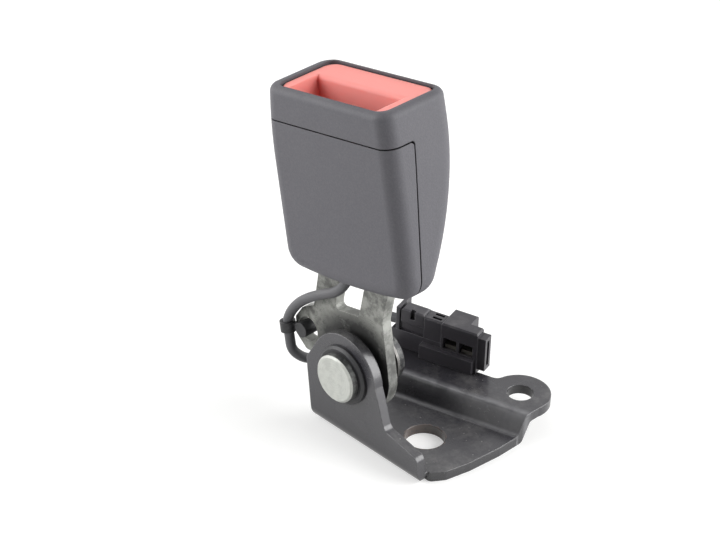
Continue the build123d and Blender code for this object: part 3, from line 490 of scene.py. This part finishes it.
class BUCKLE_OT_housing(bpy.types.Operator):
    """Finish the housing's two shells in grained plastic"""

    bl_idname = "buckle.housing"
    bl_label = "Housing"

    def execute(self, context):
        shell = Finish("Grained shell", colours().shell, 0.52)
        shell.shader.inputs["Specular IOR Level"].default_value = 0.3
        grain = effect(shell.tree, "grain", Size=sizes().grain)
        edge = effect(shell.tree, "edge", Radius=sizes().edge, Breakup=6 * MM)
        scuffs = effect(shell.tree, "scuffs", Size=26 * MM, Amount=0.3)
        dust = effect(shell.tree, "dust", Size=3.5 * MM, Amount=0.1)
        painted_shade = effect(shell.tree, "painted_shade", Reach=1.2 * MM)
        tone = ranged(shell.tree, grain["Tone"], 0.3, 0.75, 0.0, 0.24)
        shell.lay(tone, colours().shell_rubbed)
        shell.lay(part_of(shell, scuffs["Mask"], 0.3), colours().shell_rubbed)
        shell.lay(part_of(shell, edge["Mask"], 0.25), colours().shell_rubbed)
        shell.lay(part_of(shell, dust["Mask"], 0.25), colours().dust)
        # Painted shade: the seams and corners of the housing are darkened where ambient occlusion finds
        # them.
        shell.lay(painted_shade["Mask"], colours().painted_shade)
        shell.polish(scuffs["Mask"], 0.56, 0.4)
        shell.relief(grain["Height"], 0.06 * MM, 0.5, edge["Normal"])
        coat_nodes(shell.done(), "rear_shell", "front_cover")
        return {"FINISHED"}


class BUCKLE_OT_button(bpy.types.Operator):
    """Finish the press button in smooth salmon plastic"""

    bl_idname = "buckle.button"
    bl_label = "Press Button"

    def execute(self, context):
        red = Finish("Salmon button", colours().button, 0.55)
        red.shader.inputs["Specular IOR Level"].default_value = 0.25
        edge = effect(red.tree, "edge", Radius=0.6 * MM, Breakup=8 * MM)
        scuffs = effect(red.tree, "scuffs", Size=14 * MM, Amount=0.45)
        grain = effect(red.tree, "grain", Size=0.9 * MM)
        red.lay(part_of(red, scuffs["Mask"], 0.5), colours().button_pale)
        red.lay(part_of(red, edge["Mask"], 0.6), colours().button_pale)
        red.polish(scuffs["Mask"], 0.55, 0.68)
        red.relief(grain["Height"], 0.02 * MM, 0.35, edge["Normal"])
        red.shader.inputs["Subsurface Weight"].default_value = 0.3
        red.shader.inputs["Subsurface Radius"].default_value = (5 * MM, 2 * MM, 1.8 * MM)
        red.shader.inputs["Subsurface Scale"].default_value = 1.0
        coat_nodes(red.done(), "press_button")
        return {"FINISHED"}


class BUCKLE_OT_strap(bpy.types.Operator):
    """Finish the strap, frame and latch in dull zinc"""

    bl_idname = "buckle.strap"
    bl_label = "Strap and Frame"

    def execute(self, context):
        dull = Finish("Dull zinc strap", colours().strap, 0.5, 0.3)
        edge = effect(dull.tree, "edge", Radius=0.35 * MM, Breakup=2.5 * MM)
        rub = effect(dull.tree, "scuffs", Size=6 * MM, Amount=0.5)
        stain = effect(dull.tree, "scuffs", Size=11 * MM, Amount=0.75)
        grain = effect(dull.tree, "grain", Size=0.8 * MM)
        spread = noise(dull.tree, place_of(dull.tree), 1 / (4 * MM), 7.0, 0.7)
        dull.lay(ranged(dull.tree, spread, 0.4, 0.62, 0.0, 0.75), colours().strap_stain)
        dull.lay(part_of(dull, stain["Mask"], 0.5), colours().strap_stain)
        # Painted shade: the strap darkens towards the rivet's axis, where the ear shades it, with a
        # ragged edge.
        reach = distance_from_line(dull, RIVET_AXIS, (1, 0, 1))
        ragged = ranged(dull.tree, spread, 0.3, 0.7, -2 * MM, 2 * MM)
        shade_near_pivot = ranged(dull.tree, arithmetic(dull.tree, "ADD", reach, ragged), 20 * MM, 14 * MM)
        dull.lay(part_of(dull, shade_near_pivot, 0.93), colours().painted_shade)
        dull.lay(part_of(dull, rub["Mask"], 0.55), colours().strap_bare_and_highlight)
        dull.lay(part_of(dull, edge["Mask"], 0.7), colours().strap_bare_and_highlight)
        # Painted light: faces that look across the rivet's axis, the strap's cut edges, are laid lighter
        # in bare metal, broken up by noise.
        lit_edges = ranged(dull.tree, endwise(dull), 0.7, 0.3, 0.0, 0.42)
        torn = ranged(dull.tree, spread, 0.38, 0.6, 1.0, 0.35)
        dull.lay(arithmetic(dull.tree, "MULTIPLY", lit_edges, torn), colours().strap_bare_and_highlight)
        dull.polish(rub["Mask"], 0.58, 0.36)
        dull.relief(grain["Height"], 0.03 * MM, 0.5, edge["Normal"])
        coat_nodes(dull.done(), "strap", "buckle_frame", "latch_plate")
        return {"FINISHED"}


class BUCKLE_OT_pivot(bpy.types.Operator):
    """Finish the rivets, pin and washer: bright zinc on the ends, and painted shade in near-black on the
    sides
    """

    bl_idname = "buckle.pivot"
    bl_label = "Pivot Rivet"

    def execute(self, context):
        # Painted shade: the base is the near-black of the nylon, which stays on the sides of the zinc
        # pieces.
        zinc = Finish("Bright zinc rivet", colours().nylon_and_rivet_shade, 0.42, 0.3)
        edge = effect(zinc.tree, "edge", Radius=0.4 * MM, Breakup=2 * MM)
        rub = effect(zinc.tree, "scuffs", Size=5 * MM, Amount=0.55)
        grain = effect(zinc.tree, "grain", Size=0.5 * MM)
        radius = distance_from_line(zinc, RIVET_AXIS, (1, 0, 1))
        turns = arithmetic(zinc.tree, "MULTIPLY", radius, RING_PITCH)
        wave = arithmetic(zinc.tree, "SINE", turns, 0.0)
        rings = ranged(zinc.tree, wave, -0.2, 1.0)
        blotch = noise(zinc.tree, place_of(zinc.tree), 1 / (2.2 * MM), 6.0, 0.65)
        # Bright zinc only on faces that look along the rivet's axis; the sides keep their painted shade.
        zinc.lay(ranged(zinc.tree, endwise(zinc), 0.3, 0.8), colours().zinc)
        zinc.lay(ranged(zinc.tree, blotch, 0.42, 0.66, 0.0, 0.35), colours().zinc_dull)
        zinc.lay(part_of(zinc, rings, 0.12), colours().zinc_dull)
        zinc.lay(part_of(zinc, rub["Mask"], 0.4), colours().strap)
        zinc.polish(blotch, 0.3, 0.58)
        height = arithmetic(zinc.tree, "ADD", part_of(zinc, rings, 0.6), grain["Height"])
        zinc.relief(height, 0.04 * MM, 0.4, edge["Normal"])
        coat_nodes(zinc.done(), "pivot_rivet", "frame_rivets", "latch_pin", "tail_washer")
        return {"FINISHED"}


class BUCKLE_OT_bracket(bpy.types.Operator):
    """Finish the anchor bracket in satin coat, with rust in the bolt hole"""

    bl_idname = "buckle.bracket"
    bl_label = "Anchor Bracket"

    def execute(self, context):
        coat = Finish("Satin black coat", colours().coat, 0.26)
        coat.shader.inputs["Specular IOR Level"].default_value = 0.85
        edge = effect(coat.tree, "edge", Radius=0.5 * MM, Breakup=3 * MM)
        scuffs = effect(coat.tree, "scuffs", Size=15 * MM, Amount=0.42)
        chips = effect(coat.tree, "scuffs", Size=4 * MM, Amount=0.3)
        dust = effect(coat.tree, "dust", Size=1.6 * MM, Amount=0.22)
        grain = effect(coat.tree, "grain", Size=0.7 * MM)
        painted_shade = effect(coat.tree, "painted_shade", Reach=28 * MM, Limit=0.85)
        radius = distance_from_line(coat, (0, 0, 0), (1, 1, 0))
        ragged = noise(coat.tree, place_of(coat.tree), 1 / (1.6 * MM), 4.0)
        waver = ranged(coat.tree, ragged, 0.3, 0.7, -0.35 * MM, 0.35 * MM)
        spread = arithmetic(coat.tree, "ADD", radius, waver)
        rusty = ranged(coat.tree, spread, BOLT_BORE + sizes().rust_reach, BOLT_BORE + 0.1 * MM)
        coat.lay(part_of(coat, scuffs["Mask"], 0.3), colours().coat_scuff_and_highlight)
        coat.lay(part_of(coat, dust["Mask"], 0.5), colours().dust)
        coat.lay(part_of(coat, chips["Mask"], 0.3), colours().coat_scuff_and_highlight)
        coat.lay(part_of(coat, edge["Mask"], 0.6), colours().coat_scuff_and_highlight)
        # Painted shade: the coat is darkened under and between parts, over a wide occlusion reach.
        coat.lay(part_of(coat, painted_shade["Mask"], 0.85), colours().painted_shade)
        # Painted highlights along the two bends of the step, in the pale scuff colour.
        for bend, width, share in (UPPER_BEND_HIGHLIGHT, LOWER_BEND_HIGHLIGHT):
            coat.lay(part_of(coat, self.highlight_along_bend(coat, bend, width), share), colours().coat_scuff_and_highlight)
        bitten = ranged(coat.tree, chips["Mask"], 0.0, 0.5, 0.35, 0.9)
        coat.lay(arithmetic(coat.tree, "MULTIPLY", rusty, bitten), colours().rust)
        coat.polish(scuffs["Mask"], 0.27, 0.45)
        coat.relief(grain["Height"], 0.03 * MM, 0.4, edge["Normal"])
        coat_nodes(coat.done(), "anchor_bracket")
        return {"FINISHED"}

    def highlight_along_bend(self, coat, bend, width):
        """Mask of a painted highlight along one bend of the joggle, so far back from the bolt hole."""
        away = node(
            coat.tree,
            "ShaderNodeVectorMath",
            {0: place_of(coat.tree), 1: (-math.sin(STEP_YAW), math.cos(STEP_YAW), 0.0)},
            operation="DOT_PRODUCT",
        )
        offset = arithmetic(coat.tree, "SUBTRACT", away.outputs["Value"], bend)
        line = ranged(coat.tree, arithmetic(coat.tree, "ABSOLUTE", offset, 0.0), width, 0.0)
        patchy = noise(coat.tree, place_of(coat.tree), 1 / (5 * MM), 4.0)
        broken = ranged(coat.tree, patchy, 0.3, 0.6, 0.45, 1.0)
        return arithmetic(coat.tree, "MULTIPLY", line, broken)


class BUCKLE_OT_bushes(bpy.types.Operator):
    """Finish the nylon bushes, clip, feeler and ejector"""

    bl_idname = "buckle.bushes"
    bl_label = "Nylon Pieces"

    def execute(self, context):
        nylon_and_rivet_shade = Finish("Black nylon", colours().nylon_and_rivet_shade, 0.45)
        edge = effect(nylon_and_rivet_shade.tree, "edge", Radius=0.3 * MM, Breakup=2 * MM)
        scuffs = effect(nylon_and_rivet_shade.tree, "scuffs", Size=5 * MM, Amount=0.5)
        grain = effect(nylon_and_rivet_shade.tree, "grain", Size=0.6 * MM)
        nylon_and_rivet_shade.lay(part_of(nylon_and_rivet_shade, scuffs["Mask"], 0.35), colours().connector_edge)
        nylon_and_rivet_shade.lay(part_of(nylon_and_rivet_shade, edge["Mask"], 0.35), colours().connector_edge)
        nylon_and_rivet_shade.polish(grain["Tone"], 0.36, 0.56)
        nylon_and_rivet_shade.relief(grain["Height"], 0.02 * MM, 0.4, edge["Normal"])
        coat_nodes(
            nylon_and_rivet_shade.done(), "pivot_bush", "spacer_bush", "lead_clip", "switch_feeler", "ejector"
        )
        return {"FINISHED"}


class BUCKLE_OT_connector(bpy.types.Operator):
    """Finish the connector blocks and their tinned terminals"""

    bl_idname = "buckle.connector"
    bl_label = "Connector"

    def execute(self, context):
        block = Finish("Connector plastic", colours().connector, 0.36)
        edge = effect(block.tree, "edge", Radius=0.3 * MM, Breakup=4 * MM)
        dust = effect(block.tree, "dust", Size=1.4 * MM, Amount=0.2)
        grain = effect(block.tree, "grain", Size=0.5 * MM)
        block.lay(part_of(block, edge["Mask"], 0.45), colours().connector_edge)
        block.lay(part_of(block, dust["Mask"], 0.35), colours().dust)
        painted_shade = effect(block.tree, "painted_shade", Reach=2 * MM)
        # Painted shade: the connector's slots and corners are darkened where ambient occlusion finds
        # them.
        block.lay(part_of(block, painted_shade["Mask"], 0.8), colours().painted_shade)
        block.polish(grain["Tone"], 0.28, 0.46)
        block.relief(grain["Height"], 0.015 * MM, 0.35, edge["Normal"])
        coat_nodes(
            block.done(),
            "connector_housing",
            "connector_plug",
            "connector_lock",
            "connector_clip",
            "switch_housing",
        )
        tin = Finish("Tinned terminals", colours().tin, 0.34, 0.8)
        streak = effect(tin.tree, "scuffs", Size=3 * MM, Amount=0.5)
        tin.lay(part_of(tin, streak["Mask"], 0.6), colours().zinc_dull)
        tin.polish(streak["Mask"], 0.3, 0.5)
        coat_nodes(tin.done(), "connector_terminals")
        return {"FINISHED"}


class BUCKLE_OT_springs(bpy.types.Operator):
    """Finish the springs in oiled steel"""

    bl_idname = "buckle.springs"
    bl_label = "Springs"

    def execute(self, context):
        steel = Finish("Oiled spring steel", colours().spring, 0.34, 0.85)
        film = noise(steel.tree, place_of(steel.tree), 1 / (3 * MM), 5.0)
        edge = effect(steel.tree, "edge", Radius=0.15 * MM, Breakup=2 * MM)
        steel.lay(ranged(steel.tree, film, 0.4, 0.7, 0.0, 0.6), colours().strap_stain)
        steel.lay(part_of(steel, edge["Mask"], 0.4), colours().zinc)
        steel.polish(film, 0.26, 0.46)
        coat_nodes(steel.done(), "friction_springs", "latch_spring", "ejector_spring", "button_springs")
        self.pressed(context, "ejector_spring", "ejector", *EJECTOR_COIL)
        self.pressed(context, "button_springs", "button", *BUTTON_COIL)
        return {"FINISHED"}

    def pressed(self, context, name, body, seat, far):
        """A copy of a coil put where the packed coil stands, which is hidden."""
        packed = NODES[name]
        coil = bpy.data.objects.new("pressed_" + name, packed.data.copy())
        coil.matrix_world = packed.matrix_world
        context.scene.collection.objects.link(coil)
        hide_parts(name)
        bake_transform(coil)


class BUCKLE_OT_lead(bpy.types.Operator):
    """Make the lead as one smooth sheathed cable from the switch to the connector"""

    bl_idname = "buckle.lead"
    bl_label = "Lead"

    def execute(self, context):
        yaw = Matrix.Rotation(STEP_YAW, 3, "Z")
        route = [
            on_head(SWITCH_ACROSS, 43 * MM, LEAD_PLANE),
            on_head(SWITCH_ACROSS, 28.1 * MM, LEAD_PLANE),
            on_head(-17.8 * MM, 20 * MM, LEAD_PLANE),
            on_head(CLIP_ACROSS, 11 * MM, LEAD_PLANE),
            on_head(CLIP_ACROSS, 4.2 * MM, LEAD_PLANE),
            on_head(CLIP_ACROSS, -1.5 * MM, LEAD_PLANE),
            on_head(-24.3 * MM, -5.5 * MM, -8.1 * MM),
            on_head(-23.8 * MM, -6 * MM, 3 * MM),
            yaw @ Vector((-39 * MM, PLUG_BACK, PLUG_UP)),
            yaw @ Vector((-27 * MM, PLUG_BACK, PLUG_UP)),
        ]
        curve = bpy.data.curves.new("lead_route", "CURVE")
        curve.dimensions = "3D"
        curve.bevel_depth = sizes().lead_radius
        curve.bevel_resolution = 6
        curve.use_fill_caps = True
        curve.resolution_u = 12
        spline = curve.splines.new("NURBS")
        spline.points.add(len(route) - 1)
        for point, where in zip(spline.points, route):
            point.co = (*where, 1.0)
        spline.order_u = 3
        spline.use_endpoint_u = True
        shaped = bpy.data.objects.new("lead_shape", curve)
        context.scene.collection.objects.link(shaped)
        context.view_layer.update()
        mesh = bpy.data.meshes.new_from_object(shaped.evaluated_get(context.evaluated_depsgraph_get()))
        mesh.name = "sheathed_lead"
        bpy.data.objects.remove(shaped)
        lead = bpy.data.objects.new("sheathed_lead", mesh)
        context.scene.collection.objects.link(lead)
        for face in mesh.polygons:
            face.use_smooth = True
        sheath = Finish("Lead sheath", colours().sheath, 0.5)
        dust = effect(sheath.tree, "dust", Size=2.2 * MM, Amount=0.25)
        scuffs = effect(sheath.tree, "scuffs", Size=7 * MM, Amount=0.45)
        grain = effect(sheath.tree, "grain", Size=0.5 * MM)
        sheath.lay(part_of(sheath, scuffs["Mask"], 0.4), colours().dust)
        sheath.lay(part_of(sheath, dust["Mask"], 0.35), colours().dust)
        sheath.polish(grain["Tone"], 0.42, 0.6)
        sheath.relief(grain["Height"], 0.02 * MM, 0.5)
        mesh.materials.append(sheath.done())
        coat_nodes(sheath.material, "lead_upper", "lead_lower")
        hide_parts("lead_upper", "lead_lower")
        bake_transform(lead)
        return {"FINISHED"}


def aimed(eye, target):
    """Turn that points a lamp at the target."""
    return (Vector(target) - Vector(eye)).to_track_quat("-Z", "Y").to_euler()


def lamp(name, power, size, eye, target):
    """A square soft lamp."""
    light = bpy.data.lights.new(name, "AREA")
    light.energy = power
    light.size = size
    holder = bpy.data.objects.new(name, light)
    holder.location = eye
    holder.rotation_euler = aimed(eye, target)
    bpy.context.scene.collection.objects.link(holder)


class BUCKLE_OT_stage(bpy.types.Operator):
    """Set the pale floor, the soft light and the camera"""

    bl_idname = "buckle.stage"
    bl_label = "Stage"

    def execute(self, context):
        stage = context.scene.buckle_stage
        context.scene.view_settings.view_transform = "Standard"
        self.floor(context)
        self.surround(context, stage)
        middle = (CAD_LOW + CAD_HIGH) / 2
        lamp("Large lamp", stage.key, LARGE_SIDE, LARGE_LAMP, middle)
        lamp("Small lamp", stage.fill, SMALL_SIDE, SMALL_LAMP, middle)
        self.camera(context, stage)
        return {"FINISHED"}

    def seen(self, tree):
        """One where the camera, a mirror or glass looks, and nought for light that falls on things."""
        path = node(tree, "ShaderNodeLightPath")
        mirror, glass = path.outputs["Is Glossy Ray"], path.outputs["Is Transmission Ray"]
        shine = arithmetic(tree, "MAXIMUM", mirror, glass)
        return arithmetic(tree, "MAXIMUM", path.outputs["Is Camera Ray"], shine)

    def floor(self, context):
        """A wide pale sheet under the bracket."""
        mesh = bpy.data.meshes.new("studio_floor")
        level = CAD_LOW.z - FLOOR_DROP
        corners = [
            (-FLOOR_REACH, -FLOOR_REACH, level),
            (FLOOR_REACH, -FLOOR_REACH, level),
            (FLOOR_REACH, FLOOR_REACH, level),
            (-FLOOR_REACH, FLOOR_REACH, level),
        ]
        mesh.from_pydata(corners, [], [(0, 1, 2, 3)])
        sheet = bpy.data.objects.new("studio_floor", mesh)
        context.scene.collection.objects.link(sheet)
        material = bpy.data.materials.new("Pale floor")
        material.use_nodes = True
        tree = material.node_tree
        tree.nodes.clear()
        matt = node(tree, "ShaderNodeBsdfDiffuse", {"Color": opaque(colours().floor)})
        white = arithmetic(tree, "MULTIPLY", self.seen(tree), FLOOR_GLOW)
        glow = node(tree, "ShaderNodeEmission", {"Color": (1, 1, 1, 1), "Strength": white})
        both = node(tree, "ShaderNodeAddShader", {0: matt.outputs[0], 1: glow.outputs[0]})
        node(tree, "ShaderNodeOutputMaterial", {"Surface": both.outputs[0]})
        mesh.materials.append(material)

    def surround(self, context, stage):
        """White to look at, and for light dimmer on one side."""
        world = bpy.data.worlds.new("White surround")
        world.use_nodes = True
        tree = world.node_tree
        tree.nodes.clear()
        ray = node(tree, "ShaderNodeTexCoord").outputs["Generated"]
        toward = node(tree, "ShaderNodeVectorMath", {0: ray, 1: DIM_SIDE}, operation="DOT_PRODUCT")
        shade = ranged(tree, toward.outputs["Value"], DIM_START, DIM_END, stage.surround, stage.gap)
        strength = node(
            tree,
            "ShaderNodeMapRange",
            {"Value": self.seen(tree), "To Min": shade, "To Max": 1.0},
        )
        sky = node(
            tree, "ShaderNodeBackground", {"Color": (1, 1, 1, 1), "Strength": strength.outputs["Result"]}
        )
        node(tree, "ShaderNodeOutputWorld", {"Surface": sky.outputs[0]})
        context.scene.world = world

    def camera(self, context, stage):
        """The camera at its place, turned, raised and rolled."""
        turn, rise = stage.azimuth, stage.elevation
        right = Vector((math.cos(turn), math.sin(turn), 0.0))
        toward = Vector(
            (math.sin(turn) * math.cos(rise), -math.cos(turn) * math.cos(rise), math.sin(rise))
        )
        up = toward.cross(right)
        rolled_right = right * math.cos(stage.roll) + up * math.sin(stage.roll)
        rolled_up = up * math.cos(stage.roll) - right * math.sin(stage.roll)
        eye = bpy.data.cameras.new("Studio camera")
        eye.sensor_width = SENSOR_WIDTH
        eye.lens = stage.lens
        holder = bpy.data.objects.new("Studio camera", eye)
        turned = Matrix((rolled_right, rolled_up, toward)).transposed().to_4x4()
        holder.matrix_world = Matrix.Translation(stage.place) @ turned
        context.scene.collection.objects.link(holder)
        context.scene.camera = holder


class BUCKLE_PT_panel(bpy.types.Panel):
    """Lists the buckle's finishes and stage"""

    bl_idname = "BUCKLE_PT_panel"
    bl_label = "Buckle"
    bl_space_type = "VIEW_3D"
    bl_region_type = "UI"
    bl_category = "Buckle"

    def draw(self, context):
        for settings in (
            context.scene.buckle_colours,
            context.scene.buckle_sizes,
            context.scene.buckle_stage,
        ):
            box = self.layout.box()
            for name in settings.__annotations__:
                box.prop(settings, name)
        for step in STEPS:
            self.layout.operator(step.bl_idname)


STEPS = (
    BUCKLE_OT_effects,
    BUCKLE_OT_housing,
    BUCKLE_OT_button,
    BUCKLE_OT_strap,
    BUCKLE_OT_pivot,
    BUCKLE_OT_bracket,
    BUCKLE_OT_bushes,
    BUCKLE_OT_connector,
    BUCKLE_OT_springs,
    BUCKLE_OT_lead,
    BUCKLE_OT_stage,
)
CLASSES = (BuckleColours, BuckleSizes, BuckleStage, *STEPS, BUCKLE_PT_panel)


def register():
    """Register the classes and their settings."""
    for cls in CLASSES:
        bpy.utils.register_class(cls)
    bpy.types.Scene.buckle_colours = PointerProperty(type=BuckleColours)
    bpy.types.Scene.buckle_sizes = PointerProperty(type=BuckleSizes)
    bpy.types.Scene.buckle_stage = PointerProperty(type=BuckleStage)


def unregister():
    """Remove the settings and classes."""
    del bpy.types.Scene.buckle_stage
    del bpy.types.Scene.buckle_sizes
    del bpy.types.Scene.buckle_colours
    for cls in reversed(CLASSES):
        bpy.utils.unregister_class(cls)


def main():
    """Run every step."""
    register()
    bpy.ops.buckle.effects()
    bpy.ops.buckle.housing()
    bpy.ops.buckle.button()
    bpy.ops.buckle.strap()
    bpy.ops.buckle.pivot()
    bpy.ops.buckle.bracket()
    bpy.ops.buckle.bushes()
    bpy.ops.buckle.connector()
    bpy.ops.buckle.springs()
    bpy.ops.buckle.lead()
    bpy.ops.buckle.stage()


if __name__ == "__main__":
    main()
